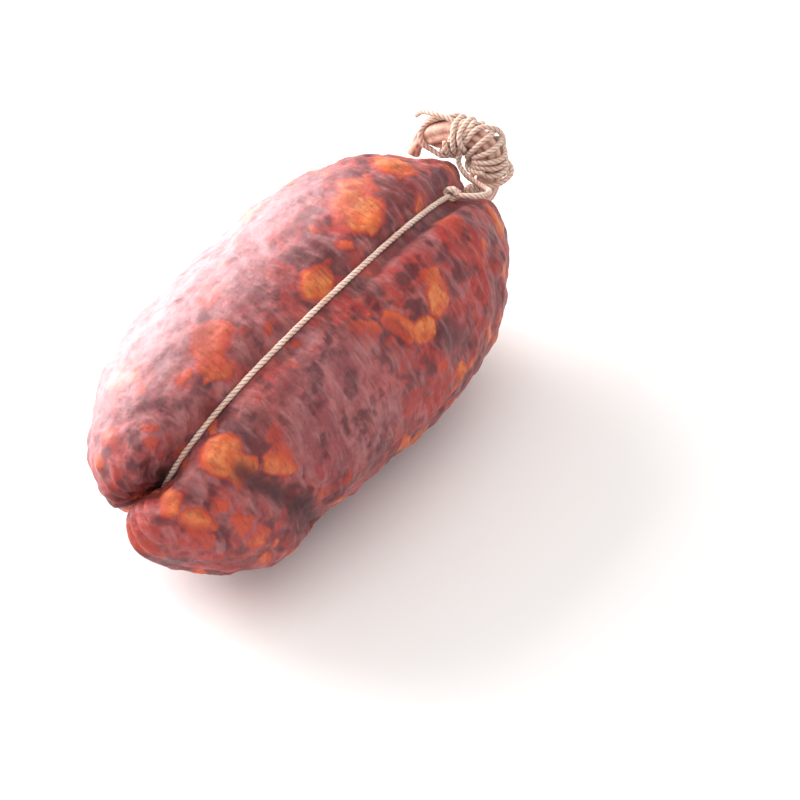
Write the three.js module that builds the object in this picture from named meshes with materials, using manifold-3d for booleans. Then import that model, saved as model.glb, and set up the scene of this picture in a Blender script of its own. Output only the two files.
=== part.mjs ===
// A dry-cured sausage in its natural casing, tied lengthwise with butcher's twine.
//
// Millimetres, +Z up, +X towards the gathered neck. The origin lies on the pressed-flat underside,
// straight below the middle of the sausage. The sausage is worked out around its own axis first,
// with Y across its two lobes and Z towards the visible run of twine, and is then rolled about X.

import * as THREE from "three";
import { mergeVertices } from "three/addons/utils/BufferGeometryUtils.js";
import Module from "manifold-3d";

const wasm = await Module();
wasm.setup();

// ---------------------------------------------------------------- driving dimensions

const SAUSAGE = {
  halfLength: 81, // from the middle to the tips of the end lobes
  halfWidth: 42.5, // from the middle to the outside of a lobe
  halfDepth: 39.5, // from the middle to the crests beside the twine
  fullness: 2.4, // superellipse exponent: 2 gives an ellipse, more gives blunter ends
  roll: THREE.MathUtils.degToRad(21.4), // how far the twine's plane leans from upright
  pressedFlat: 1.2, // how deep the underside is pressed in where it lies
};

// The furrow that the taut twine draws into the casing, all the way round.
const FURROW = {
  neckDepth: 11, // below the tips of the lobes, at the neck
  tuckDepth: 15, // below the tips of the lobes, at the other end, where the twine is tucked in
  sideDepth: 2.5, // below the crests, at the middle
  halfWidth: 5,
  tuckHalfWidth: 4.2,
};

// Where the filling bulges, or has sunk: the middle of each swell, its reach and its rise.
const SWELLS = [
  { at: [-64, -27, -5], reach: 22, rise: 5 },
  { at: [-50, 28, 16], reach: 24, rise: 1.5 },
  { at: [-12, -39, -8], reach: 22, rise: -3 },
  { at: [66, -28, 2], reach: 18, rise: -2.5 },
];

// A fold across the lower lobe, along a line of points that lie on the casing.
const FOLD = {
  along: [
    [-59, -22, 22],
    [-50, -32, 14.5],
    [-42, -38, 5],
    [-38, -39, -6],
  ],
  depth: 3.5,
  halfWidth: 5,
};

const TWINE = {
  radius: 1,
  clearance: 0.7, // between the twine and what it lies on
  turnGap: 0.8, // between one turn and the next where it is wound
};

// The gathered end of the casing: a flare out of the furrow's end, then a dry, narrow tail.
const TAIL = {
  radius: 3.4,
  flareRadius: 9, // where the flare leaves the lobes
  flareLength: 14,
  buried: 12, // how far the tail starts before its bends, inside the sausage
  setBack: 11, // how far inside the tips of the lobes the bends start
  boundRadius: 6.1, // the radius over its twine that the bends are drawn for
  // The tail's bends: out, up, across and down.
  bends: [
    [0, 0, 0],
    [7, -0.4, -0.2],
    [12, -1.6, 0],
    [16.4, -3, 1.8],
    [18.3, -3.3, 6],
    [18.5, -3.2, 13.5],
    [18.6, -2, 17.3],
    [18.5, 1.2, 19.3],
    [18, 5.5, 19],
    [16, 15.5, 16.8],
    [14.6, 18.8, 14],
    [13.3, 20.4, 10.6],
    [12.4, 21, 7.6],
  ],
};

// Twine wound round the tail: how far along the bends it starts, and how often it goes round.
const WINDINGS = {
  neck_binding: { start: 9.2, turns: 2 },
  upright_winding: { start: 20.5, turns: 3 },
  end_winding: { start: 44, turns: 3 },
};

// Where the twine lifts off the underside's furrow towards the neck, as a turn short of its end.
const TWINE_LEAVES = 0.42;

const KNOT = {
  setBack: 22, // how far inside the tips of the lobes the knot is tied
  radius: 2.3,
};

// The twine's way from the knot round the upright of the tail, measured like the bends: it lies
// over a lobe's shoulder, crosses in front of the upright and goes over its top, and comes down
// the far side.
const NECK_STRAND = [
  [-8.2, -15.6, 25.1],
  [-5.8, -16.8, 24],
  [-2, -16.6, 21.8],
  [2, -14.8, 18.8],
  [5.4, -12.2, 15.4],
  [7.8, -9.2, 12.9],
  [9.4, -5.4, 11.4],
  [10.9, 0.3, 11],
  [12.2, 3.9, 12.8],
  [13, 4.8, 16],
  [12.9, 4, 19.6],
  [14.8, 2.6, 23.2],
  [18.6, 0, 24.8],
  [21.8, -3, 22.6],
  [25.2, -3.2, 17.8],
  [26.4, -3, 11.5],
  [26.2, -3, 5.5],
  [24.2, -3.1, 0.6],
  [21, -2.8, -3.6],
  [17.6, -2, -6],
];

// The free end, let go above the last winding, measured like the bends.
const LOOSE_END = [
  [15.6, 8.6, 26.2],
  [15.2, 12.5, 25.8],
  [15, 16.5, 25.4],
  [15.2, 20, 23.6],
  [15.4, 22.4, 20.6],
];

// ---------------------------------------------------------------- worked out from them

const FACETS = {
  along: 46,
  around: 44,
  crowding: 0.32, // how far the facets are drawn together at the furrow
  endCrowding: 0.4, // and at the ends
  twine: 4,
  tailSteps: 30,
  turnSteps: 12,
};

const furrowFloor = {
  neckEnd: SAUSAGE.halfLength - FURROW.neckDepth,
  tuckEnd: SAUSAGE.halfLength - FURROW.tuckDepth,
  halfDepth: SAUSAGE.halfDepth - FURROW.sideDepth,
};
const restHeight =
  Math.hypot(
    SAUSAGE.halfWidth * Math.sin(SAUSAGE.roll),
    SAUSAGE.halfDepth * Math.cos(SAUSAGE.roll),
  ) - SAUSAGE.pressedFlat;
const windingRadius = TAIL.radius + TWINE.radius + TWINE.clearance;
const windingPitch = 2 * TWINE.radius + TWINE.turnGap;
// How far the bends open out to make room for a thicker tail or thicker twine.
const opening = (windingRadius + TWINE.radius) / TAIL.boundRadius;

const material = (color, roughness) =>
  new THREE.MeshStandardMaterial({ color, roughness, metalness: 0 });
const curedMeat = material(0x8c4743, 0.5);
const cottonTwine = material(0xe3cbb4, 0.85);

const bendsStart = new THREE.Vector3(SAUSAGE.halfLength - TAIL.setBack, 0, 0);

// A sine or cosine raised so that the outline becomes a superellipse.
const blunt = (value) => Math.sign(value) * Math.abs(value) ** (2 / SAUSAGE.fullness);

// ---------------------------------------------------------------- solids

function solidOf(geometry) {
  const bare = geometry.clone().deleteAttribute("normal").deleteAttribute("uv");
  const merged = mergeVertices(bare, 1e-3);
  return new wasm.Manifold(
    new wasm.Mesh({
      numProp: 3,
      vertProperties: merged.attributes.position.array,
      triVerts: new Uint32Array(merged.index.array),
    }),
  );
}

function geometryOf(solid) {
  const { numProp, vertProperties, triVerts } = solid.getMesh();
  const positions = new Float32Array((vertProperties.length / numProp) * 3);
  for (let i = 0; i < positions.length / 3; i++) {
    positions.set(vertProperties.subarray(i * numProp, i * numProp + 3), i * 3);
  }
  const geometry = new THREE.BufferGeometry();
  geometry.setAttribute("position", new THREE.BufferAttribute(positions, 3));
  geometry.setIndex(new THREE.BufferAttribute(triVerts, 1));
  geometry.computeVertexNormals();
  return geometry;
}

function named(name, geometry, finish) {
  const mesh = new THREE.Mesh(geometry, finish);
  mesh.name = name;
  return mesh;
}

// ---------------------------------------------------------------- the sausage

function distanceToLine(point, corners) {
  const nearest = new THREE.Vector3();
  let least = Infinity;
  for (let i = 1; i < corners.length; i++) {
    const piece = new THREE.Line3(
      new THREE.Vector3(...corners[i - 1]),
      new THREE.Vector3(...corners[i]),
    );
    piece.closestPointToPoint(point, true, nearest);
    least = Math.min(least, nearest.distanceTo(point));
  }
  return least;
}

// Moves a point of the smooth superellipsoid to where the tied casing has it.
function tieCasing(point) {
  const towardsTuck = THREE.MathUtils.smoothstep(-point.x, 0, SAUSAGE.halfLength);
  const width = THREE.MathUtils.lerp(FURROW.halfWidth, FURROW.tuckHalfWidth, towardsTuck);
  const furrow = Math.exp(-((point.y / width) ** 2));
  const endDepth = point.x > 0 ? FURROW.neckDepth : FURROW.tuckDepth;
  point.x *= 1 - (furrow * endDepth) / SAUSAGE.halfLength;
  point.z *= 1 - (furrow * FURROW.sideDepth) / SAUSAGE.halfDepth;
  const outward = new THREE.Vector3(
    point.x / SAUSAGE.halfLength ** 2,
    point.y / SAUSAGE.halfWidth ** 2,
    point.z / SAUSAGE.halfDepth ** 2,
  ).normalize();
  let rise = 0;
  for (const swell of SWELLS) {
    const away = point.distanceTo(new THREE.Vector3(...swell.at)) / swell.reach;
    rise += swell.rise * Math.exp(-(away ** 2)) * (1 - furrow);
  }
  const fold = distanceToLine(point, FOLD.along) / FOLD.halfWidth;
  rise -= FOLD.depth * Math.exp(-(fold ** 2));
  return point.addScaledVector(outward, rise);
}

function lobesGeometry() {
  const profile = [];
  for (let i = 0; i <= FACETS.along; i++) {
    const even = (Math.PI * i) / FACETS.along;
    const turn = even - FACETS.endCrowding * Math.sin(2 * even);
    profile.push(new THREE.Vector2(Math.abs(blunt(Math.sin(turn))), -blunt(Math.cos(turn))));
  }
  profile[0].x = 0;
  profile[FACETS.along].x = 0;
  const geometry = new THREE.LatheGeometry(profile, FACETS.around);
  const position = geometry.getAttribute("position");
  const point = new THREE.Vector3();
  for (let i = 0; i < position.count; i++) {
    // The lathe turns about Y, and the sausage lies along X, with its furrow where turn is 0.
    const radius = Math.hypot(position.getX(i), position.getZ(i));
    const turn = Math.atan2(position.getZ(i), position.getX(i));
    const crowded = turn - FACETS.crowding * Math.sin(2 * turn);
    point.set(
      position.getY(i) * SAUSAGE.halfLength,
      radius * Math.sin(crowded) * SAUSAGE.halfWidth,
      radius * Math.cos(crowded) * SAUSAGE.halfDepth,
    );
    tieCasing(point);
    position.setXYZ(i, point.x, point.y, point.z);
  }
  return geometry.rotateX(SAUSAGE.roll);
}

// The gathered flare that closes in from the lobes to the tail.
function flareGeometry() {
  const steps = 8;
  const profile = [new THREE.Vector2(0, -TAIL.buried)];
  for (let i = 0; i <= steps; i++) {
    const along = i / steps;
    const closing = (1 + Math.cos(Math.PI * along)) / 2;
    profile.push(
      new THREE.Vector2(
        TAIL.radius + (TAIL.flareRadius - TAIL.radius) * closing ** 1.5,
        along * TAIL.flareLength - TAIL.buried / 2,
      ),
    );
  }
  profile.push(new THREE.Vector2(0, TAIL.flareLength - TAIL.buried / 2));
  return new THREE.LatheGeometry(profile, 16)
    .rotateZ(-Math.PI / 2)
    .translate(bendsStart.x, 0, 0);
}

const smoothLine = (points) => new THREE.CatmullRomCurve3(points, false, "centripetal");

// Where stops lie that are measured from the start of the bends, with the bends opened out.
const besideBends = (stops) =>
  stops.map((stop) => new THREE.Vector3(...stop).multiplyScalar(opening).add(bendsStart));

const tailLine = smoothLine([
  new THREE.Vector3(bendsStart.x - TAIL.buried, 0, 0),
  ...besideBends(TAIL.bends),
]);

// A closed tube of round section along a curve.
function tube(line, radius, steps) {
  const section = new THREE.Shape().absarc(0, 0, radius, 0, 2 * Math.PI);
  return new THREE.ExtrudeGeometry(section, {
    curveSegments: FACETS.twine,
    steps,
    extrudePath: line,
  });
}

// What the sausage lies on: everything below it is pressed away.
function tableGeometry() {
  const side = 4 * SAUSAGE.halfLength;
  return new THREE.BoxGeometry(side, side, side).translate(0, 0, -restHeight - side / 2);
}

function sausage() {
  const solid = solidOf(lobesGeometry())
    .add(solidOf(flareGeometry()))
    .add(solidOf(tube(tailLine, TAIL.radius, FACETS.tailSteps)))
    .subtract(solidOf(tableGeometry()));
  return named("sausage", geometryOf(solid), curedMeat);
}

// ---------------------------------------------------------------- the twine

// A point over the furrow's floor, `lift` away from it. turn 0 is the end at the neck, and
// Math.PI the end where the twine is tucked in; up to there it runs over the top, then underneath.
function overFurrow(turn, lift) {
  const along = blunt(Math.cos(turn));
  const up = blunt(Math.sin(turn));
  const halfLength = along > 0 ? furrowFloor.neckEnd : furrowFloor.tuckEnd;
  const steepness = SAUSAGE.fullness - 1;
  const outward = new THREE.Vector3(
    (Math.sign(along) * Math.abs(along) ** steepness) / halfLength,
    0,
    (Math.sign(up) * Math.abs(up) ** steepness) / furrowFloor.halfDepth,
  ).normalize();
  return new THREE.Vector3(halfLength * along, 0, furrowFloor.halfDepth * up)
    .addScaledVector(outward, lift)
    .applyAxisAngle(new THREE.Vector3(1, 0, 0), SAUSAGE.roll);
}

const twineLift = TWINE.radius + TWINE.clearance;
const knotTurn = Math.acos(
  ((SAUSAGE.halfLength - KNOT.setBack) / furrowFloor.neckEnd) ** (SAUSAGE.fullness / 2),
);
const knotAt = overFurrow(knotTurn, KNOT.radius + TWINE.clearance);

// Where a strand leaves the knot on its way to another point.
const besideKnot = (towards) =>
  towards.clone().sub(knotAt).setLength(KNOT.radius + TWINE.clearance).add(knotAt);

// From the knot, along the top, round the far end, back underneath and out to the neck.
function lengthwiseTwine() {
  const stops = 48;
  const leaving = 2 * Math.PI - TWINE_LEAVES;
  const points = [];
  for (let i = 0; i <= stops; i++) {
    points.push(overFurrow(THREE.MathUtils.lerp(knotTurn, leaving, i / stops), twineLift));
  }
  points[0] = besideKnot(points[1]);
  points.push(
    new THREE.Vector3(
      bendsStart.x + WINDINGS.neck_binding.start * opening - 2 * TWINE.radius,
      0,
      -windingRadius - TWINE.radius,
    ).applyAxisAngle(new THREE.Vector3(1, 0, 0), SAUSAGE.roll),
  );
  return named("lengthwise_twine", tube(smoothLine(points), TWINE.radius, 68), cottonTwine);
}

function topKnot() {
  const geometry = new THREE.SphereGeometry(KNOT.radius, 10, 8);
  geometry.translate(knotAt.x, knotAt.y, knotAt.z);
  return named("top_knot", geometry, cottonTwine);
}

// Twine wound round the tail, from one distance along it to another.
class Winding extends THREE.Curve {
  constructor({ start, turns }) {
    super();
    this.turns = turns;
    this.length = tailLine.getLength();
    this.from = (start * opening + TAIL.buried) / this.length;
    this.to = this.from + (turns * windingPitch) / this.length;
    this.samples = 240;
    this.frames = tailLine.computeFrenetFrames(this.samples, false);
  }

  getPoint(share, target = new THREE.Vector3()) {
    const along = THREE.MathUtils.lerp(this.from, this.to, share);
    const sample = Math.min(this.samples, Math.round(along * this.samples));
    const angle = 2 * Math.PI * this.turns * share;
    return tailLine
      .getPointAt(along, target)
      .addScaledVector(this.frames.normals[sample], windingRadius * Math.cos(angle))
      .addScaledVector(this.frames.binormals[sample], windingRadius * Math.sin(angle));
  }
}

function strands() {
  const aroundUpright = besideBends(NECK_STRAND);
  const routes = {
    neck_strand: [besideKnot(aroundUpright[0]), ...aroundUpright],
    loose_end: besideBends(LOOSE_END),
  };
  return Object.entries(routes).map(([name, points]) => {
    const line = smoothLine(points);
    const steps = Math.round(line.getLength() / (2 * TWINE.radius));
    return named(name, tube(line, TWINE.radius, steps), cottonTwine);
  });
}

function windings() {
  return Object.entries(WINDINGS).map(([name, place]) => {
    const steps = Math.round(place.turns * FACETS.turnSteps);
    return named(name, tube(new Winding(place), TWINE.radius, steps), cottonTwine);
  });
}

// ---------------------------------------------------------------- the whole object

const tied = new THREE.Group();
tied.add(sausage(), lengthwiseTwine(), topKnot(), ...windings(), ...strands());
tied.position.z = restHeight;

const curedSausage = new THREE.Group();
curedSausage.add(tied);

export default curedSausage;
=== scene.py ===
"""A dry-cured sausage in natural casing, tied lengthwise with butcher's twine.

Sizes are in millimetres and turned to metres when a mesh is made. The sausage lies along X with
its gathered neck towards +X. Its own axes are x along it, p across its two lobes and q towards the
visible run of twine; they are the row's axes rolled about X and raised off the floor.
"""

import itertools
import logging
import math
from dataclasses import dataclass, field
from enum import Enum

import bmesh
import bpy
import numpy as np
from mathutils import Matrix, Vector
from mathutils.bvhtree import BVHTree
from mathutils.kdtree import KDTree


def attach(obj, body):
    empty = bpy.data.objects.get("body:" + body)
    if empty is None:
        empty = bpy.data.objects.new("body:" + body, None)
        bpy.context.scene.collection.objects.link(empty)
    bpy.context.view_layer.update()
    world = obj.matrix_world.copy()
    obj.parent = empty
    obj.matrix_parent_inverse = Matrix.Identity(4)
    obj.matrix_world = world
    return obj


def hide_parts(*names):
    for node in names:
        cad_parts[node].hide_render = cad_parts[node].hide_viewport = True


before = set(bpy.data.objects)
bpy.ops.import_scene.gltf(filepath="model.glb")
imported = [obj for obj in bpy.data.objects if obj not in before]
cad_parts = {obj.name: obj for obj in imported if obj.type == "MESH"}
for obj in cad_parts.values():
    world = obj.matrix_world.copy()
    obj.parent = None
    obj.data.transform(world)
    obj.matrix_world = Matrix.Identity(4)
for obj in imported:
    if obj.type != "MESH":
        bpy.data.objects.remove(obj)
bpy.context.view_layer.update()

MM = 0.001
LOG = logging.getLogger("cured_sausage")


# --------------------------------------------------------------------------- numbers and noise


def linear(hex_colour: str) -> tuple[float, float, float, float]:
    """Turns an sRGB hex colour into a linear one.

    Args:
        hex_colour: six hex digits after a hash sign.

    Returns:
        Red, green, blue and alpha, from 0 to 1.
    """
    channels = [int(hex_colour[i : i + 2], 16) / 255 for i in (1, 3, 5)]
    curved = [c / 12.92 if c <= 0.04045 else ((c + 0.055) / 1.055) ** 2.4 for c in channels]
    return (*curved, 1.0)


def smoothstep(low: float, high: float, value: np.ndarray) -> np.ndarray:
    """Rises smoothly from 0 at low to 1 at high (or falls, where low is above high).

    Args:
        low: the value that gives 0.
        high: the value that gives 1.
        value: the values to ease.

    Returns:
        The eased values.
    """
    share = np.clip((value - low) / (high - low), 0, 1)
    return share * share * (3 - 2 * share)


def hashed(cells: np.ndarray, salt: int) -> np.ndarray:
    """Gives each whole-number cell a number of its own.

    Args:
        cells: whole-number coordinates, one row a cell.
        salt: tells one set of numbers from another.

    Returns:
        One number from 0 to 1 for each cell.
    """
    mixed = (cells.astype(np.int64) * np.array([73856093, 19349663, 83492791])).sum(axis=-1)
    mixed = (mixed + salt * 668265263) & 0xFFFFFFFF
    for multiplier in (0x45D9F3B, 0x119DE1F3):
        mixed = ((mixed ^ (mixed >> 16)) * multiplier) & 0xFFFFFFFF
    return ((mixed ^ (mixed >> 16)) & 0xFFFFFF) / 0xFFFFFF


def noise(points: np.ndarray, size: float, salt: int = 0, octaves: int = 1) -> np.ndarray:
    """Smooth random swells.

    Args:
        points: places in mm, one row each.
        size: distance in mm between the coarsest swells.
        salt: tells one pattern from another.
        octaves: how many ever finer layers are summed.

    Returns:
        One value for each place, about -1 to 1.
    """
    total = np.zeros(len(points))
    reach = 0.0
    for octave in range(octaves):
        scaled = points / size * 2**octave
        base = np.floor(scaled).astype(np.int64)
        part = scaled - base
        ease = part * part * (3 - 2 * part)
        for corner in itertools.product((0, 1), repeat=3):
            weight = np.prod(np.where(np.array(corner) == 1, ease, 1 - ease), axis=1)
            total += weight * (2 * hashed(base + corner, salt + octave) - 1) / 2**octave
        reach += 1 / 2**octave
    return total / reach


def cells(points: np.ndarray, size: float, salt: int = 0) -> tuple[np.ndarray, ...]:
    """Splits space into rounded lumps.

    Args:
        points: places in mm, one row each.
        size: distance in mm between the lumps' middles.
        salt: tells one set of lumps from another.

    Returns:
        Distance to the nearest middle and to the next one, as shares of size, and each nearest
        lump's own number from 0 to 1.
    """
    scaled = points / size
    base = np.floor(scaled).astype(np.int64)
    first = np.full(len(points), 9.0)
    second = np.full(len(points), 9.0)
    own = np.zeros(len(points))
    for offset in itertools.product((-1, 0, 1), repeat=3):
        cell = base + offset
        middle = cell + np.stack([hashed(cell, salt + axis) for axis in range(3)], axis=1)
        away = np.linalg.norm(scaled - middle, axis=1)
        nearer = away < first
        second = np.where(nearer, first, np.minimum(second, away))
        own = np.where(nearer, hashed(cell, salt + 7), own)
        first = np.where(nearer, away, first)
    return first, second, own


# --------------------------------------------------------------------------- curves and meshes


def through(stops: np.ndarray, spacing: float) -> np.ndarray:
    """Draws an even, smooth line through some stops (a centripetal Catmull-Rom curve).

    Args:
        stops: the places it passes, in mm.
        spacing: distance in mm between the points of the line.

    Returns:
        The points of the line.
    """
    ends = np.vstack([2 * stops[0] - stops[1], stops, 2 * stops[-1] - stops[-2]])
    drawn = []
    for a, b, c, d in zip(ends, ends[1:], ends[2:], ends[3:]):
        knots = np.cumsum([0.0] + [math.sqrt(np.linalg.norm(v)) for v in (b - a, c - b, d - c)])
        t = np.linspace(knots[1], knots[2], 24, endpoint=False)[:, None]

        def mix(p: np.ndarray, q: np.ndarray, i: int, j: int) -> np.ndarray:
            """Goes from p at knot i to q at knot j."""
            return ((knots[j] - t) * p + (t - knots[i]) * q) / (knots[j] - knots[i])

        ab, bc, cd = mix(a, b, 0, 1), mix(b, c, 1, 2), mix(c, d, 2, 3)
        drawn.append(mix(mix(ab, bc, 0, 2), mix(bc, cd, 1, 3), 1, 2))
    return even(np.vstack([*drawn, stops[-1:]]), spacing)


def even(line: np.ndarray, spacing: float) -> np.ndarray:
    """Spaces the points of a line evenly.

    Args:
        line: the points of the line, in mm.
        spacing: the distance wanted between them, in mm.

    Returns:
        The new points.
    """
    steps = np.linalg.norm(np.diff(line, axis=0), axis=1)
    along = np.concatenate([[0.0], np.cumsum(steps)])
    wanted = np.linspace(0, along[-1], max(2, round(along[-1] / spacing) + 1))
    return np.stack([np.interp(wanted, along, line[:, axis]) for axis in range(3)], axis=1)


def carried_axes(line: np.ndarray) -> tuple[np.ndarray, np.ndarray, np.ndarray]:
    """Carries a pair of cross axes along a line without twisting them.

    Args:
        line: the points of the line.

    Returns:
        The line's direction and its two cross axes at each point.
    """
    tangents = np.gradient(line, axis=0)
    tangents /= np.linalg.norm(tangents, axis=1)[:, None]
    start = np.array([0.0, 0.0, 1.0]) if abs(tangents[0][2]) < 0.9 else np.array([1.0, 0.0, 0.0])
    sides = []
    side = start
    for tangent in tangents:
        side = side - tangent * side.dot(tangent)
        side = side / np.linalg.norm(side)
        sides.append(side)
    sides = np.array(sides)
    return tangents, sides, np.cross(tangents, sides)


def made(name: str, points: np.ndarray, faces: list, smooth: bool = True) -> bpy.types.Object:
    """Makes a mesh object.

    Args:
        name: the piece's name.
        points: its corners in mm, in the row's frame.
        faces: lists of corner numbers.
        smooth: whether it is shaded smooth.

    Returns:
        The object, linked to the scene.
    """
    mesh = bpy.data.meshes.new(name)
    mesh.from_pydata((np.asarray(points) * MM).tolist(), [], faces)
    mesh.validate()
    mesh.update()
    mesh.polygons.foreach_set("use_smooth", [smooth] * len(mesh.polygons))
    piece = bpy.data.objects.new(name, mesh)
    bpy.context.scene.collection.objects.link(piece)
    return piece


def swept(line: np.ndarray, section: np.ndarray) -> tuple[np.ndarray, list]:
    """Sweeps a closed section, which may change on the way, along a line.

    Args:
        line: the points of the line, in mm.
        section: for each point of the line, the section's corners as two cross distances in mm.

    Returns:
        The corners, and the faces as lists of corner numbers.
    """
    _, side, up = carried_axes(line)
    rings = (
        line[:, None, :]
        + section[:, :, :1] * side[:, None, :]
        + section[:, :, 1:] * up[:, None, :]
    )
    count, around = section.shape[:2]
    faces = [list(range(around))[::-1]]
    for i in range(count - 1):
        for j in range(around):
            k = (j + 1) % around
            faces.append([i * around + j, i * around + k, (i + 1) * around + k, (i + 1) * around + j])
    faces.append([(count - 1) * around + j for j in range(around)])
    return rings.reshape(-1, 3), faces


def read(mesh: bpy.types.Mesh, what: str) -> np.ndarray:
    """Reads what a mesh keeps at its corners.

    Args:
        mesh: the mesh.
        what: "co" for their places in metres, or "normal".

    Returns:
        One row for each corner.
    """
    values = np.empty(len(mesh.vertices) * 3)
    mesh.vertices.foreach_get(what, values)
    return values.reshape(-1, 3)


def store(mesh: bpy.types.Mesh, name: str, values: np.ndarray) -> None:
    """Keeps one number at each corner of a mesh, for its material to read.

    Args:
        mesh: the mesh.
        name: what the material calls it.
        values: one number a corner.
    """
    layer = mesh.attributes.new(name, "FLOAT", "POINT")
    layer.data.foreach_set("value", np.asarray(values, dtype=np.float32))


# --------------------------------------------------------------------------- materials


def add(
    tree: bpy.types.NodeTree,
    kind: str,
    settings: dict | None = None,
    links: dict | None = None,
) -> bpy.types.Node:
    """Adds a node to a material.

    Args:
        tree: the material's nodes.
        kind: the node's type.
        settings: values for the node's own properties, or for its inputs by name or number.
        links: for inputs by name or number, the output each one takes its value from.

    Returns:
        The new node.
    """
    node = tree.nodes.new(kind)
    for key, value in (settings or {}).items():
        if isinstance(key, str) and hasattr(node, key):
            setattr(node, key, value)
        else:
            node.inputs[key].default_value = value
    for key, source in (links or {}).items():
        tree.links.new(source, node.inputs[key])
    return node


def fresh_material(name: str) -> tuple[bpy.types.Material, bpy.types.NodeTree, bpy.types.Node]:
    """Makes an empty material with an output.

    Args:
        name: the material's name.

    Returns:
        The material, its nodes and its output node.
    """
    material = bpy.data.materials.new(name)
    material.use_nodes = True
    tree = material.node_tree
    tree.nodes.clear()
    return material, tree, add(tree, "ShaderNodeOutputMaterial")


def per_metre(size_mm: float) -> float:
    """The scale setting that gives a pattern of this size in mm."""
    return 1 / (size_mm * MM)


def band(
    tree: bpy.types.NodeTree, value: bpy.types.NodeSocket, low: float, high: float
) -> bpy.types.NodeSocket:
    """Takes a number from 0 at one level to 1 at another, softly."""
    settings = {"From Min": low, "From Max": high, "interpolation_type": "SMOOTHSTEP"}
    return add(tree, "ShaderNodeMapRange", settings, {"Value": value}).outputs["Result"]


# Inputs of the colour Mix node: its share and its two colours.
MIX_SHARE, MIX_FIRST, MIX_SECOND, MIX_RESULT = 0, 6, 7, 2


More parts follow.
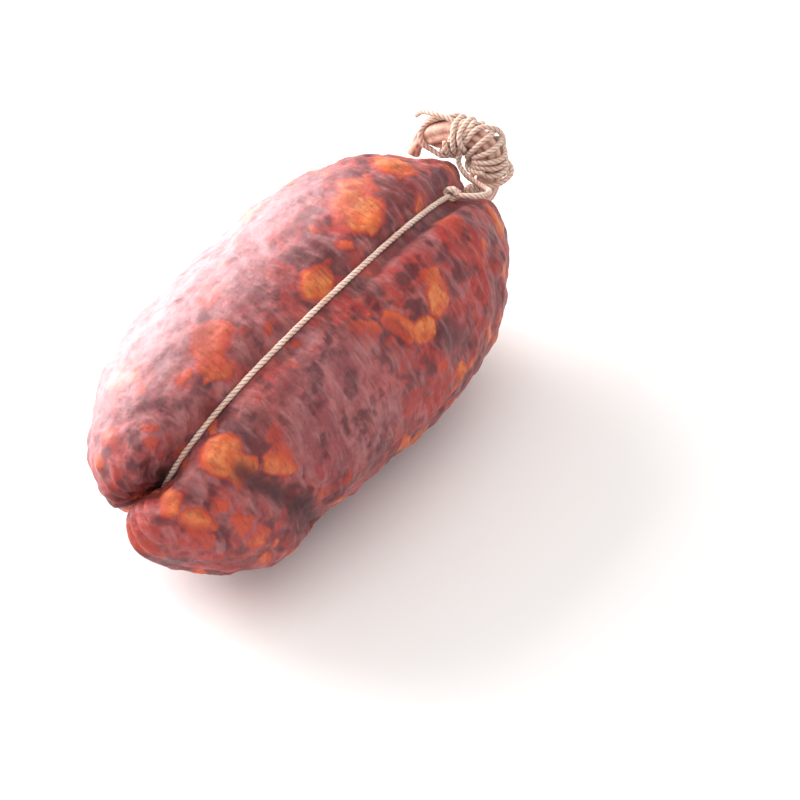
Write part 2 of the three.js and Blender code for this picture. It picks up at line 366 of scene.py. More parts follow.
@dataclass(frozen=True)
class CuredMeat:
    """Coarse cured pork seen through dry natural casing.

    The casing is a thin, tight collagen skin: it gives a dull, waxy sheen and a pale bloom, and
    lets the lean, the paprika-red paste and the orange-stained fat show as a soft mosaic. The
    bloom colour also carries a painted haze of light on the upper side, and a dark colour is
    painted in as shade in the furrow, the folds and the gathered ends.
    """

    base: str = "#7a2a29"  # lean and paste together, under the casing
    base_light: str = "#a8483e"
    lean: str = "#4c171e"  # dark, dense lean
    paste: str = "#ac281c"  # paprika-stained paste
    rim: str = "#bc3b1c"  # where fat and paste run together
    fat: str = "#d4601f"  # fat, stained orange
    fat_pale: str = "#e79450"
    mauve: str = "#8c4a50"  # where dry casing stands clear of the meat
    mauve_pale: str = "#bd8080"
    bloom_and_painted_haze: str = "#e0b8be"  # the pale bloom on a dry casing, with a painted haze of light on the upper side
    # painted shade: the dark laid into the furrow, the fold, the gathered ends, the bend by the neck and
    # under the twine, and also some random darker seams
    seam_and_shade_colour: str = "#34161a"
    tail: str = "#e5c0ad"  # bare, gathered casing
    # painted shade in the folds of the gathered casing
    tail_fold_shade: str = "#87453b"
    mottle_mm: float = 3.6
    streak_mm: float = 1.1

    def streaks(
        self, tree: bpy.types.NodeTree, place: bpy.types.NodeSocket, times_size: float
    ) -> bpy.types.NodeSocket:
        """Streaks and fine wrinkles that run round the sausage, across its length.

        Args:
            tree: the material's nodes.
            place: the coordinates.
            times_size: how much bigger they are than the finest.

        Returns:
            A number from 0 to 1 over the surface.
        """
        drawn_out = add(
            tree,
            "ShaderNodeMapping",
            {"Scale": (1.0, 0.3, 0.3), "Rotation": (0.0, 0.0, math.radians(12))},
            {"Vector": place},
        )
        lines = add(
            tree,
            "ShaderNodeTexNoise",
            {"Scale": per_metre(self.streak_mm * times_size), "Detail": 3.0, "Distortion": 0.4},
            {"Vector": drawn_out.outputs["Vector"]},
        )
        return band(tree, lines.outputs["Fac"], 0.45, 0.75)

    def material(self) -> bpy.types.Material:
        """Builds the material."""
        material, tree, output = fresh_material("natural_casing_over_coarse_cured_meat")
        place = add(tree, "ShaderNodeTexCoord").outputs["Object"]

        def drawn(name: str) -> bpy.types.NodeSocket:
            """Reads one of the numbers that the mesh keeps at its corners."""
            return add(tree, "ShaderNodeAttribute", {"attribute_name": name}).outputs["Fac"]

        def blend(
            share: bpy.types.NodeSocket | float,
            first: bpy.types.NodeSocket | str,
            second: bpy.types.NodeSocket | str,
            mode: str = "MIX",
        ) -> bpy.types.NodeSocket:
            """Mixes two colours.

            Args:
                share: how much of the second colour there is.
                first: a colour, as hex or from another node.
                second: a colour, as hex or from another node.
                mode: how the second is laid over the first.

            Returns:
                The mixed colour.
            """
            settings = {"data_type": "RGBA", "blend_type": mode}
            links = {}
            for key, value in ((MIX_SHARE, share), (MIX_FIRST, first), (MIX_SECOND, second)):
                if isinstance(value, str):
                    settings[key] = linear(value)
                elif isinstance(value, float):
                    settings[key] = value
                else:
                    links[key] = value
            return add(tree, "ShaderNodeMix", settings, links).outputs[MIX_RESULT]

        def mottle(size_mm: float, detail: float, low: float, high: float) -> bpy.types.NodeSocket:
            """Soft random patches.

            Args:
                size_mm: their size.
                detail: how many finer layers they have.
                low: the noise level that becomes 0.
                high: the noise level that becomes 1.

            Returns:
                A number from 0 to 1 over the surface.
            """
            patches = add(
                tree,
                "ShaderNodeTexNoise",
                {"Scale": per_metre(size_mm), "Detail": detail, "Roughness": 0.6},
                {"Vector": place},
            )
            return band(tree, patches.outputs["Fac"], low, high)

        def times(first: bpy.types.NodeSocket, second: bpy.types.NodeSocket | float) -> bpy.types.NodeSocket:
            """Multiplies two numbers."""
            settings = {"operation": "MULTIPLY"}
            links = {0: first}
            if isinstance(second, float):
                settings[1] = second
            else:
                links[1] = second
            return add(tree, "ShaderNodeMath", settings, links).outputs[0]

        colour = blend(mottle(self.mottle_mm * 3, 4.0, 0.4, 0.62), self.base, self.base_light)
        reds = times(mottle(self.mottle_mm * 1.9, 3.0, 0.5, 0.62), 0.7)
        colour = blend(reds, colour, self.paste)
        mauves = blend(times(mottle(self.mottle_mm * 2.8, 3.0, 0.4, 0.6), 0.6), self.mauve, self.mauve_pale)
        colour = blend(times(drawn("mauve"), 0.75), colour, mauves)
        colour = blend(times(drawn("paste"), 0.9), colour, self.paste)
        colour = blend(drawn("lean"), colour, self.lean)
        darks = times(mottle(self.mottle_mm * 2.0, 2.5, 0.49, 0.65), 0.8)
        colour = blend(darks, colour, self.lean)
        pales = times(self.streaks(tree, place, 2.4), 0.5)
        colour = blend(pales, colour, self.mauve_pale)
        fat = blend(mottle(self.mottle_mm * 1.2, 3.0, 0.36, 0.72), self.fat, self.fat_pale)
        colour = blend(times(band(tree, drawn("fat"), 0.05, 0.45), 0.85), colour, self.rim)
        colour = blend(times(band(tree, drawn("fat"), 0.35, 0.9), 0.8), colour, fat)
        streaks = times(self.streaks(tree, place, 1.0), 0.45)
        colour = blend(streaks, colour, self.lean)
        # Painted shade in the furrow beside the twine, the fold, the gathered ends and the bend by the neck,
        # with some random darker seams.
        colour = blend(drawn("seams_and_painted_shade"), colour, self.seam_and_shade_colour)
        # The pale bloom, with a painted haze of light laid strongest on the upper side.
        bloom_and_haze_share = times(drawn("bloom_and_painted_haze"), mottle(self.mottle_mm * 1.6, 6.0, 0.0, 0.6))
        colour = blend(bloom_and_haze_share, colour, self.bloom_and_painted_haze)
        # The gathered tail, painted darker in its folds as shade.
        tail = blend(drawn("tail_fold_shade"), self.tail, self.tail_fold_shade)
        colour = blend(drawn("tail"), colour, tail)

        ripple = add(
            tree,
            "ShaderNodeTexNoise",
            {"Scale": per_metre(self.streak_mm * 2.2), "Detail": 4.0, "Roughness": 0.5},
            {"Vector": place},
        )
        coarse = add(
            tree,
            "ShaderNodeBump",
            {"Strength": 0.6, "Distance": 0.9 * MM},
            {"Height": ripple.outputs["Fac"]},
        )
        fine = add(
            tree,
            "ShaderNodeBump",
            {"Strength": 0.3, "Distance": 0.15 * MM},
            {"Height": self.streaks(tree, place, 1.0), "Normal": coarse.outputs["Normal"]},
        )
        gloss = add(
            tree,
            "ShaderNodeMapRange",
            {"From Min": 0.3, "From Max": 0.7, "To Min": 0.46, "To Max": 0.62},
            {"Value": ripple.outputs["Fac"]},
        )
        shader = add(
            tree,
            "ShaderNodeBsdfPrincipled",
            {
                "IOR": 1.45,
                "Metallic": 0.0,
                "Specular IOR Level": 0.22,
                "Subsurface Weight": 0.1,
                "Subsurface Radius": (1.0, 0.35, 0.2),
                "Subsurface Scale": 1.6 * MM,
                "Coat Weight": 0.05,
                "Coat Roughness": 0.35,
                "Sheen Weight": 0.03,
                "Sheen Roughness": 0.45,
                "Sheen Tint": linear("#ffe2e4"),
            },
            {"Base Color": colour, "Roughness": gloss.outputs["Result"], "Normal": fine.outputs["Normal"]},
        )
        tree.links.new(shader.outputs["BSDF"], output.inputs["Surface"])
        return material


@dataclass(frozen=True)
class CottonTwine:
    """Natural cotton butcher's twine, twisted from three plies.

    The cotton is matte and slightly fuzzy, and has taken up pink from the meat in patches;
    between the plies it is painted darker as shade.
    """

    crown: str = "#f1dccd"  # the outside of the plies
    stained: str = "#dcae9c"  # where it has drawn up juice
    valley: str = "#a06a5a"  # painted shade between the plies
    fibre_mm: float = 0.18
    stain_mm: float = 7.0

    def material(self) -> bpy.types.Material:
        """Builds the material."""
        material, tree, output = fresh_material("twisted_cotton_butchers_twine")
        place = add(tree, "ShaderNodeTexCoord").outputs["Object"]
        fibres = add(
            tree,
            "ShaderNodeTexNoise",
            {"Scale": per_metre(self.fibre_mm * 3), "Detail": 5.0, "Roughness": 0.65},
            {"Vector": place},
        )
        stains = add(
            tree,
            "ShaderNodeTexNoise",
            {"Scale": per_metre(self.stain_mm), "Detail": 3.0},
            {"Vector": place},
        )
        staining = add(
            tree,
            "ShaderNodeMapRange",
            {"From Min": 0.38, "From Max": 0.68, "To Max": 0.75},
            {"Value": stains.outputs["Fac"]},
        )
        stained = add(
            tree,
            "ShaderNodeMix",
            {"data_type": "RGBA", MIX_FIRST: linear(self.crown), MIX_SECOND: linear(self.stained)},
            {MIX_SHARE: staining.outputs["Result"]},
        )
        # Painted shade, darker the deeper a place lies between the plies.
        valley = add(tree, "ShaderNodeAttribute", {"attribute_name": "valley"})
        colour = add(
            tree,
            "ShaderNodeMix",
            {"data_type": "RGBA", MIX_SECOND: linear(self.valley)},
            {MIX_SHARE: valley.outputs["Fac"], MIX_FIRST: stained.outputs[MIX_RESULT]},
        )
        fuzz = add(
            tree,
            "ShaderNodeBump",
            {"Strength": 0.6, "Distance": 0.15 * MM},
            {"Height": fibres.outputs["Fac"]},
        )
        shader = add(
            tree,
            "ShaderNodeBsdfPrincipled",
            {
                "IOR": 1.5,
                "Roughness": 0.85,
                "Sheen Weight": 0.3,
                "Sheen Roughness": 0.6,
                "Sheen Tint": linear("#fff1e6"),
                "Subsurface Weight": 0.08,
                "Subsurface Scale": 0.6 * MM,
            },
            {"Base Color": colour.outputs[MIX_RESULT], "Normal": fuzz.outputs["Normal"]},
        )
        tree.links.new(shader.outputs["BSDF"], output.inputs["Surface"])
        return material


# --------------------------------------------------------------------------- the sausage


class Meat(Enum):
    """What the casing shows at one place."""

    FAT = "fat"
    LEAN = "lean"
    PASTE = "paste"
    MAUVE = "mauve"


@dataclass(frozen=True)
class Patch:
    """A patch of one kind of meat under the casing: its middle (x, p, q) and its radius in mm."""

    meat: Meat
    at: tuple[float, float, float]
    radius: float
    strength: float = 1.0


@dataclass(frozen=True)
class Swell:
    """A place where the filling bulges, or where it has sunk if rise is negative."""

    at: tuple[float, float, float]
    reach: float
    rise: float


@dataclass
class Body:
    """The sizes that the sausage shares with its twine, as in the CAD model."""

    half_length: float = 81.0
    half_width: float = 42.5
    half_depth: float = 39.5
    fullness: float = 2.4
    roll: float = math.radians(21.4)
    pressed_flat: float = 1.2
    neck_depth: float = 11.0
    tuck_depth: float = 15.0
    side_depth: float = 2.5

    @property
    def rest_height(self) -> float:
        """Height of the sausage's axis over the floor."""
        across = self.half_width * math.sin(self.roll)
        return math.hypot(across, self.half_depth * math.cos(self.roll)) - self.pressed_flat

    @property
    def neck_end(self) -> float:
        """Distance from the middle to the end of the furrow at the neck."""
        return self.half_length - self.neck_depth

    @property
    def tuck_end(self) -> float:
        """Distance from the middle to the end of the furrow where the twine is tucked in."""
        return self.half_length - self.tuck_depth

    @property
    def furrow_depth(self) -> float:
        """Distance from the axis to the furrow's floor, at the middle."""
        return self.half_depth - self.side_depth

    def turned(self) -> np.ndarray:
        """The rotation from (x, p, q) to the row's axes, as a matrix for row vectors."""
        c, s = math.cos(self.roll), math.sin(self.roll)
        return np.array([[1, 0, 0], [0, c, s], [0, -s, c]])

    def to_row(self, points: np.ndarray) -> np.ndarray:
        """Takes places from (x, p, q) to the row's frame."""
        return points @ self.turned() + [0, 0, self.rest_height]

    def from_row(self, points: np.ndarray) -> np.ndarray:
        """Takes places from the row's frame to (x, p, q)."""
        return (points - [0, 0, self.rest_height]) @ self.turned().T

    def beyond_furrow(self, stops: list) -> np.ndarray:
        """Takes stops measured from the end of the furrow to the row's frame."""
        return np.array(stops, dtype=float) + [self.neck_end, 0, self.rest_height]

    def over_furrow(self, turn: np.ndarray, lift: float) -> np.ndarray:
        """Finds places over the furrow's floor.

        Args:
            turn: 0 at the neck end, pi at the other; up to there over the top, then underneath.
            lift: distance from the floor, in mm.

        Returns:
            The places, in the row's frame.
        """

        def blunt(value: np.ndarray, power: float) -> np.ndarray:
            """Raises a sine or cosine, and keeps its sign."""
            return np.sign(value) * np.abs(value) ** power

        along = blunt(np.cos(turn), 2 / self.fullness)
        up = blunt(np.sin(turn), 2 / self.fullness)
        length = np.where(along > 0, self.neck_end, self.tuck_end)
        out = np.stack(
            [
                blunt(along, self.fullness - 1) / length,
                np.zeros_like(turn),
                blunt(up, self.fullness - 1) / self.furrow_depth,
            ],
            axis=1,
        )
        out /= np.linalg.norm(out, axis=1)[:, None]
        floor = np.stack([length * along, 0 * turn, self.furrow_depth * up], axis=1)
        return self.to_row(floor + lift * out)


# The tail's bends, measured from the end of the furrow: out, up, across and down.
TAIL_STOPS = [
    [-12, 0, 0], [0, 0, 0], [7, -0.4, -0.2], [12, -1.6, 0], [16.4, -3, 1.8], [18.3, -3.3, 6],
    [18.5, -3.2, 13.5], [18.6, -2, 17.3], [18.5, 1.2, 19.3], [18, 5.5, 19], [16, 15.5, 16.8],
    [14.6, 18.8, 14], [13.3, 20.4, 10.6], [12.4, 21, 7.6],
]

# The tail's thickness: distances along it from the end of the furrow, and its radius at each.
TAIL_DISTANCES = [-12, 0, 4, 7, 9, 11, 18, 30, 36, 43, 48, 52, 54.5, 57, 60, 63.3]
TAIL_RADII = [8.5, 8.2, 7.0, 5.2, 4.1, 3.4, 3.6, 4.0, 4.0, 4.2, 5.0, 4.9, 3.9, 2.5, 1.9, 2.4]
TAIL_PLEATS = 6


def pleats(angle: np.ndarray, distance: np.ndarray) -> np.ndarray:
    """The gathered casing's folds.

    Args:
        angle: the angle round the tail.
        distance: mm along the tail from the end of the furrow.

    Returns:
        A number from 0 in a fold to 1 on the crest between two.
    """
    wander = 0.6 * np.sin(distance / 7.5) + 0.3 * np.sin(2 * angle + distance / 9)
    return np.abs(np.sin(TAIL_PLEATS / 2 * (angle + wander))) ** 0.8


@dataclass
class Sausage:
    """The filled casing with its gathered tail, as one skin."""

    body: Body = field(default_factory=Body)
    finish: CuredMeat = field(default_factory=CuredMeat)
    voxel: float = 0.78
    body_smoothing: int = 30
    tail_smoothing: int = 1
    cut_at: float = 82.3  # just past the tips of the lobes
    patches: tuple[Patch, ...] = (
        # fat, stained orange
        Patch(Meat.FAT, (23, 13, 37), 8.5),
        Patch(Meat.FAT, (32, 19, 34), 6.0, 0.8),
        Patch(Meat.FAT, (51, 17, 29), 7.0, 0.8),
        Patch(Meat.FAT, (-7, 6, 38), 5.5),
        Patch(Meat.FAT, (-42, 15, 34), 7.0),
        Patch(Meat.FAT, (-47, 9, 34), 6.0, 0.8),
        Patch(Meat.FAT, (43, -9, 33), 4.5, 0.7),
        Patch(Meat.FAT, (20, -22, 33), 5.0),
        Patch(Meat.FAT, (10, -26, 31), 5.0),
        Patch(Meat.FAT, (-65, -9, 27), 7.0, 0.9),
        Patch(Meat.FAT, (-80, -18, 12), 6.0, 0.8),
        Patch(Meat.FAT, (-71, 1, -14), 6.0, 0.6),
        Patch(Meat.FAT, (-62, 30, 16), 6.0, 0.7),
        Patch(Meat.FAT, (-75, 21, 12), 5.0, 0.8),
        Patch(Meat.FAT, (-49, -17, 31), 4.0, 0.5),
        Patch(Meat.FAT, (-80, -9, -4), 4.0, 0.4),
        # dense, dark lean
        Patch(Meat.LEAN, (2, 11, 38), 9.0, 0.8),
        Patch(Meat.LEAN, (37, 12, 34), 8.0, 0.7),
        Patch(Meat.LEAN, (19, -30, 26), 6.5, 0.8),
        Patch(Meat.LEAN, (0, -21, 34), 5.5, 0.7),
        Patch(Meat.LEAN, (-36, 6, 35), 6.5, 0.6),
        Patch(Meat.LEAN, (-72, -6, 20), 6.0, 0.4),
        Patch(Meat.LEAN, (52, -2, 28), 7.0, 0.6),
        # paprika-stained paste
        Patch(Meat.PASTE, (19, -9, 37), 8.0, 0.8),
        Patch(Meat.PASTE, (-12, -27, 31), 6.5, 0.7),
        Patch(Meat.PASTE, (40, -14, 33), 9.0, 0.9),
        Patch(Meat.PASTE, (35, -26, 28), 14.0, 0.8),
        Patch(Meat.PASTE, (5, -37, 19), 12.0, 0.7),
        Patch(Meat.PASTE, (-20, 10, 37), 6.0, 0.7),
        Patch(Meat.PASTE, (3, 21, 34), 7.0, 0.7),
        Patch(Meat.PASTE, (15, 15, 36), 6.0, 0.8),
        Patch(Meat.PASTE, (-77, 16, 15), 8.0, 0.6),
        Patch(Meat.PASTE, (-82, -22, 3), 10.0, 0.7),
        Patch(Meat.PASTE, (-80, -6, 4), 8.0, 0.5),
        # dry casing standing clear of the meat
        Patch(Meat.MAUVE, (-27, -26, 30), 22.0, 1.0),
        Patch(Meat.MAUVE, (-48, -12, 33), 12.0, 0.6),
        Patch(Meat.MAUVE, (-32, 24, 32), 24.0, 0.8),
        Patch(Meat.MAUVE, (-68, 10, 24), 14.0, 0.8),
        Patch(Meat.MAUVE, (28, -2, 36), 8.0, 0.7),
        Patch(Meat.MAUVE, (-68, -26, 18), 12.0, 0.6),
    )
    swells: tuple[Swell, ...] = (
        Swell((42, -19, 29), 20.0, 2.2),
        Swell((18, 26, 30), 22.0, 1.2),
        Swell((-8, -22, 32), 12.0, -1.2),
        Swell((-20, 6, 36), 12.0, -0.7),
        Swell((-48, 22, 28), 16.0, 0.8),
        Swell((-58, -34, 4), 14.0, 1.2),
        Swell((69, 18, 17), 11.0, -2.6),
        Swell((77, 7, 12), 9.0, 3.2),
    )
    fold: tuple[tuple[float, float, float], ...] = (
        (-63, -17, 25),
        (-59, -23, 20),
        (-53, -30, 15),
        (-46, -36, 6),
        (-41, -39, -6),
    )

    def skin(self) -> bpy.types.Mesh:
        """Joins the CAD body with a pleated tail and spreads an even skin over them.

        Returns:
            The skin's mesh, in metres.
        """
        source = bpy.data.objects.new("skin_source", self.lobes())
        tail_points, tail_faces = self.tail()
        tail = made("tail_source", tail_points, tail_faces)
        bpy.context.scene.collection.objects.link(source)
        with bpy.context.temp_override(
            active_object=source, selected_editable_objects=[source, tail]
        ):
            bpy.ops.object.join()
        remesh = source.modifiers.new("even_skin", "REMESH")
        remesh.mode = "VOXEL"
        remesh.voxel_size = self.voxel * MM
        drawn = source.evaluated_get(bpy.context.evaluated_depsgraph_get())
        mesh = bpy.data.meshes.new_from_object(drawn)
        bpy.data.objects.remove(source)
        return mesh

    def lobes(self) -> bpy.types.Mesh:
        """Copies the CAD body without its plain tail.

        Returns:
            A closed mesh, in metres.
        """
        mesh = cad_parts["sausage"].data.copy()
        skin = bmesh.new()
        skin.from_mesh(mesh)
        bmesh.ops.remove_doubles(skin, verts=skin.verts, dist=0.001 * MM)
        bmesh.ops.bisect_plane(
            skin,
            geom=[*skin.verts, *skin.edges, *skin.faces],
            plane_co=(self.cut_at * MM, 0, 0),
            plane_no=(1, 0, 0),
            clear_outer=True,
        )
        growing = [min(skin.verts, key=lambda corner: corner.co.x)]
        kept = set(growing)
        while growing:
            corner = growing.pop()
            beside = {edge.other_vert(corner) for edge in corner.link_edges} - kept
            kept |= beside
            growing.extend(beside)
        bmesh.ops.delete(skin, geom=[v for v in skin.verts if v not in kept], context="VERTS")
        bmesh.ops.holes_fill(skin, edges=[edge for edge in skin.edges if edge.is_boundary])
        bmesh.ops.triangulate(skin, faces=skin.faces)
        skin.to_mesh(mesh)
        skin.free()
        return mesh

    def tail(self) -> tuple[np.ndarray, list]:
        """Sweeps the gathered, pleated end of the casing.

        Returns:
            Its corners in mm, in the row's frame, and its faces.
        """
        line = through(self.body.beyond_furrow(TAIL_STOPS), 0.5)
        distance = np.arange(len(line))[:, None] * 0.5 - 12
        angle = np.linspace(0, 2 * math.pi, 96, endpoint=False)[None, :]
        radius = np.interp(distance, TAIL_DISTANCES, TAIL_RADII)
        radius = radius * (0.8 + 0.28 * pleats(angle, distance) + 0.05 * np.sin(3 * angle + distance / 4))
        above = np.clip(np.cos(angle - self.body.roll), 0, 1) ** 2
        radius = radius * (1 + 0.75 * above * smoothstep(10, 3, distance))
        section = np.stack([radius * np.cos(angle), radius * np.sin(angle)], axis=2)
        return swept(line, section)

    def build(self) -> bpy.types.Object:
        """Makes the piece: the skin, its lumps and wrinkles, and what shows through it."""
        mesh = self.skin()
        mesh.name = "sausage_skin"
        points = read(mesh, "co") / MM
        own = self.body.from_row(points)
        tail = self.tail_share(own)
        points = self.relaxed(mesh, points, tail)
        mesh.vertices.foreach_set("co", (points * MM).ravel())
        mesh.update()
        normals = read(mesh, "normal")
        own = self.body.from_row(points)
        kinds = self.kinds(own)
        rise = self.rise(own, kinds) * (1 - tail)
        points = points + normals * rise[:, None]
        points[:, 2] = np.maximum(points[:, 2], 0.02)
        mesh.vertices.foreach_set("co", (points * MM).ravel())
        mesh.polygons.foreach_set("use_smooth", [True] * len(mesh.polygons))
        mesh.update()
        self.dress(mesh, own, kinds, tail)
        piece = bpy.data.objects.new("cured_sausage", mesh)
        bpy.context.scene.collection.objects.link(piece)
        piece.data.materials.clear()
        piece.data.materials.append(self.finish.material())
        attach(piece, "root")
        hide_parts("sausage")
        return piece

    def tail_share(self, own: np.ndarray) -> np.ndarray:
        """How far each place, in (x, p, q), belongs to the tail: 0 on the lobes, 1 on the tail."""
        sizes = (self.body.half_length, self.body.half_width, self.body.half_depth)
        outside = (np.abs(own / sizes) ** self.body.fullness).sum(axis=1)
        beyond = smoothstep(1.0, 1.12, outside) * (own[:, 0] > 60)
        middle = smoothstep(8.0, 4.5, np.hypot(own[:, 1], own[:, 2]))
        return np.maximum(beyond, middle * smoothstep(75, 81, own[:, 0]))

    def relaxed(self, mesh: bpy.types.Mesh, points: np.ndarray, tail: np.ndarray) -> np.ndarray:
        """Evens out the CAD model's facets, and leaves the tail's pleats.

        Args:
            mesh: the skin, for its edges.
            points: its corners in mm.
            tail: 1 where a corner is on the tail.

        Returns:
            The moved corners.
        """
        edges = np.empty(len(mesh.edges) * 2, dtype=np.int64)
        mesh.edges.foreach_get("vertices", edges)
        a, b = edges.reshape(-1, 2).T
        count = np.bincount(a, minlength=len(points)) + np.bincount(b, minlength=len(points))
        for step in range(self.body_smoothing):
            mean = np.empty_like(points)
            for axis in range(3):
                mean[:, axis] = np.bincount(a, points[b, axis], len(points))
                mean[:, axis] += np.bincount(b, points[a, axis], len(points))
            mean /= count[:, None]
            share = 0.6 * (1 - tail) if step >= self.tail_smoothing else np.full(len(points), 0.5)
            points = points + (mean - points) * share[:, None]
        return points

    def kinds(self, own: np.ndarray) -> dict[Meat, np.ndarray]:
        """Works out which kind of meat shows at each place.

        Args:
            own: the places in (x, p, q).

        Returns:
            For each kind, a share from 0 to 1 at each place.
        """
        warp = np.stack([noise(own, 9.0, 40 + i, 3) for i in range(3)], axis=1)
        warped = own + 3.2 * warp
        near, next_near, lot = cells(warped, 9.5, 11)
        inside = smoothstep(0.02, 0.22, next_near - near)
        calm = self.reach(own, (-24, -26, 30), 24.0)
        busy = 1 - 0.8 * calm
        shares = {
            Meat.FAT: inside * (lot < 0.13) * busy * 0.75,
            Meat.LEAN: inside * ((lot > 0.3) & (lot < 0.5)) * busy * 0.7,
            Meat.PASTE: inside * ((lot > 0.5) & (lot < 0.82)) * busy * 0.7,
            Meat.MAUVE: inside * (lot > 0.86) * 0.7,
        }
        near, next_near, lot = cells(own + 1.8 * warp, 4.6, 17)
        inside = smoothstep(0.02, 0.3, next_near - near) * (0.35 + 0.65 * busy)
        finer = {
            Meat.FAT: inside * (lot < 0.07) * 0.7,
            Meat.LEAN: inside * ((lot > 0.1) & (lot < 0.38)) * 0.75,
            Meat.PASTE: inside * ((lot > 0.38) & (lot < 0.68)) * 0.7,
            Meat.MAUVE: inside * (lot > 0.78) * 0.6,
        }
        shares = {kind: np.maximum(share, finer[kind]) for kind, share in shares.items()}
        for patch in self.patches:
            near_patch = self.reach(warped, patch.at, patch.radius)
            for kind, share in shares.items():
                if kind is patch.meat:
                    shares[kind] = np.maximum(share, near_patch * patch.strength)
                else:
                    shares[kind] = share * (1 - 0.6 * near_patch * patch.strength)
        return shares

    def tail_folds(self, own: np.ndarray, tail: np.ndarray) -> np.ndarray:
        """How deep each place lies in a fold of the gathered tail.

        Args:
            own: the places in (x, p, q).
            tail: 1 where a place is on the tail.

        Returns:
            A number from 0 on a crest to 1 in a fold.
        """
        spine = through(self.body.beyond_furrow(TAIL_STOPS), 0.5)
        _, side, up = carried_axes(spine)
        depth = np.zeros(len(own))
        on_tail = np.flatnonzero(tail > 0.02)
        places = self.body.to_row(own[on_tail])
        away = places[:, None, :] - spine[None, ::2, :]
        near = 2 * np.argmin((away**2).sum(axis=2), axis=1)
        offset = places - spine[near]
        angle = np.arctan2((offset * up[near]).sum(axis=1), (offset * side[near]).sum(axis=1))
        depth[on_tail] = 1 - pleats(angle, near * 0.5 - 12)
        return np.clip(depth + 0.3 * noise(own, 3.0, 52, 2), 0, 1)

    def reach(self, own: np.ndarray, at: tuple[float, float, float], radius: float) -> np.ndarray:
        """A soft-edged ball: 1 inside it and 0 outside.

        Args:
            own: the places in (x, p, q).
            at: the ball's middle.
            radius: its radius in mm.

        Returns:
            The share at each place.
        """
        away = np.linalg.norm(own - np.array(at), axis=1) / radius
        return smoothstep(1.25, 0.7, away)

    def rise(self, own: np.ndarray, kinds: dict[Meat, np.ndarray]) -> np.ndarray:
        """How far the filled casing stands out from the plain lobes.

        Args:
            own: the places in (x, p, q).
            kinds: which kind of meat is at each.

        Returns:
            The rise in mm.
        """
        x, p, q = own.T
        radial = np.hypot(p, q)
        warped = own + 2.0 * np.stack([noise(own, 7.0, 60 + i, 2) for i in range(3)], axis=1)
        near, _, _ = cells(warped, 12.0, 3)
        total = 1.1 * (smoothstep(1.0, 0.1, near) - 0.4)
        near, _, _ = cells(warped, 6.5, 5)
        total = total + 0.55 * (smoothstep(0.9, 0.1, near) - 0.4)
        total = total + 1.0 * noise(own, 26.0, 20, 2) + 0.8 * noise(warped, 7.0, 24, 3)
        total = total + 0.35 * kinds[Meat.FAT] - 0.25 * kinds[Meat.LEAN] - 0.2 * kinds[Meat.MAUVE]
        for swell in self.swells:
            away = np.linalg.norm(own - np.array(swell.at), axis=1) / swell.reach
            total = total + swell.rise * np.exp(-(away**2))
        # Fine wrinkles in the dry casing, which run round the sausage.
        crumpled = noise(own * [1, 0.35, 0.35], 2.8, 30, 2)
        total = total - 0.2 * (1 - np.abs(crumpled)) ** 3
        # Where the twine draws it in, the casing puckers across the twine.
        puckers = np.sin(x / 1.15 + 3 * noise(own, 9.0, 34, 2))
        beside = np.exp(-(((np.abs(p) - 3.6) / 3.0) ** 2))
        total = total + 0.28 * beside * puckers * smoothstep(-0.3, 0.6, noise(own, 14.0, 36))
        bed = np.exp(-((p / 2.6) ** 2))
        total = total * (1 - bed) - 0.3 * bed
        # The deep side of the furrow, towards the neck.
        deep = smoothstep(-4, 20, x) * smoothstep(64, 54, x) * (q > 0)
        total = total - 2.0 * deep * np.exp(-(((p + 3.6) / 2.2) ** 2))
        # The lower lobe laps over the tucked end.
        lap = np.exp(-(((own - [-78, -4.5, -4]) ** 2).sum(axis=1)) / 90)
        total = total + 7.5 * lap * smoothstep(0.5, -2.5, p)
        # Pleats gather towards both ends.
        angle = np.arctan2(p, q)
        gather = smoothstep(26, 7, radial) * smoothstep(60, 74, np.abs(x))
        folds = np.sin(13 * angle + 2.0 * noise(own, 12.0, 38, 2))
        total = total + 0.75 * gather * folds
        total = total - 2.0 * np.exp(-((self.fold_distance(own) / 2.4) ** 2))
        return total

    def fold_distance(self, own: np.ndarray) -> np.ndarray:
        """Distance in mm from each place, in (x, p, q), to the fold across the lower lobe."""
        least = np.full(len(own), 1e9)
        corners = np.array(self.fold, dtype=float)
        for start, end in zip(corners, corners[1:]):
            run = end - start
            share = np.clip(((own - start) @ run) / (run @ run), 0, 1)
            least = np.minimum(least, np.linalg.norm(own - start - share[:, None] * run, axis=1))
        return least

    def dress(
        self,
        mesh: bpy.types.Mesh,
        own: np.ndarray,
        kinds: dict[Meat, np.ndarray],
        tail: np.ndarray,
    ) -> None:
        """Keeps at each corner what the material needs to know.

        Args:
            mesh: the skin.
            own: its corners in (x, p, q).
            kinds: which kind of meat is at each.
            tail: 1 where a corner is on the tail.
        """
        x, p, q = own.T
        for kind, share in kinds.items():
            store(mesh, kind.value, share)
